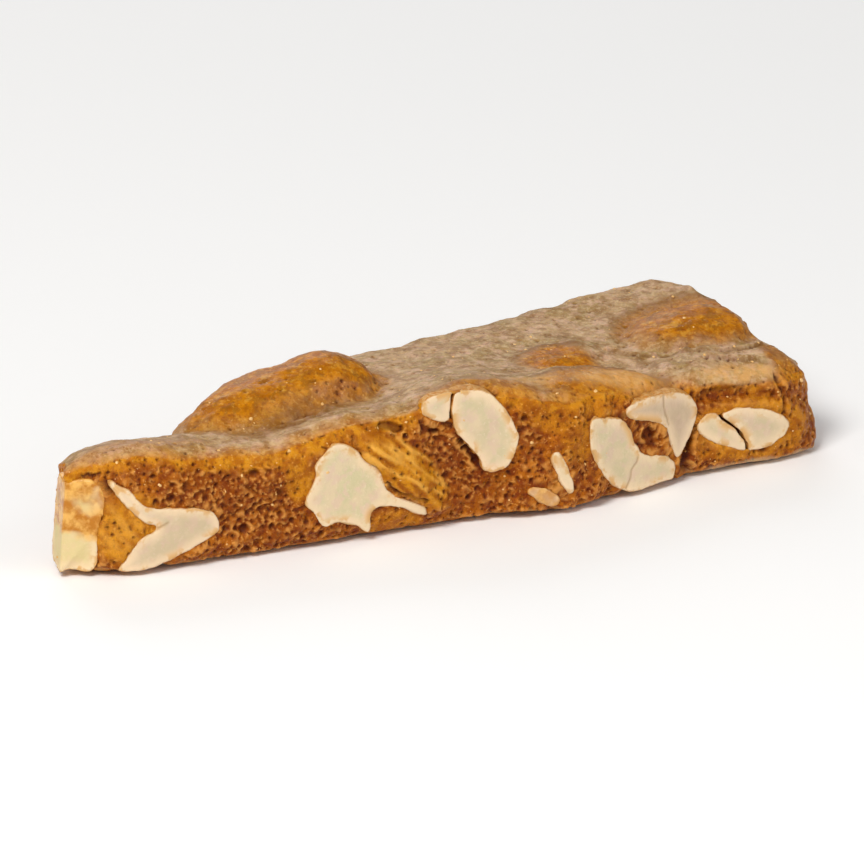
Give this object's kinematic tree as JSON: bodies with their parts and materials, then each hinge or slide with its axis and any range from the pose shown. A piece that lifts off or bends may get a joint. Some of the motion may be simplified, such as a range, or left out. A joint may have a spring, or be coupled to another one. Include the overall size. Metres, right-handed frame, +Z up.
{
  "type": "peanut brittle piece",
  "caption": "Broken shard of nut brittle: a caramel slab with a flat underside, a lumpy poured top and nut kernels cut through on its broken faces.",
  "frame": {"origin": "middle of the shard's bounding box, at its flat underside", "axes": "+X along the long front break, from the narrow end to the wide end; +Y from the front break to the back one; +Z up through the poured top"},
  "size_m": [0.0894, 0.0344, 0.0167],
  "materials": {
    "caramel": "hard cooked caramel, satin on the poured top and glossy over the nuts, full of fine bubbles where it broke",
    "kernel": "pale blanched kernel, matte where it broke"
  },
  "bodies": {
    "root": {"brittle_slab": "caramel", "nut_corner": "kernel", "nut_corner_pair": "kernel", "nut_star": "kernel", "nut_high_chip": "kernel", "nut_high": "kernel", "nut_sliver": "kernel", "nut_low_flake": "kernel", "nut_half_lower": "kernel", "nut_half_upper": "kernel", "nut_right_chip": "kernel", "nut_right": "kernel", "nut_back_left": "kernel", "nut_back_middle": "kernel", "nut_back_right": "kernel"}
  },
  "joints": []
}
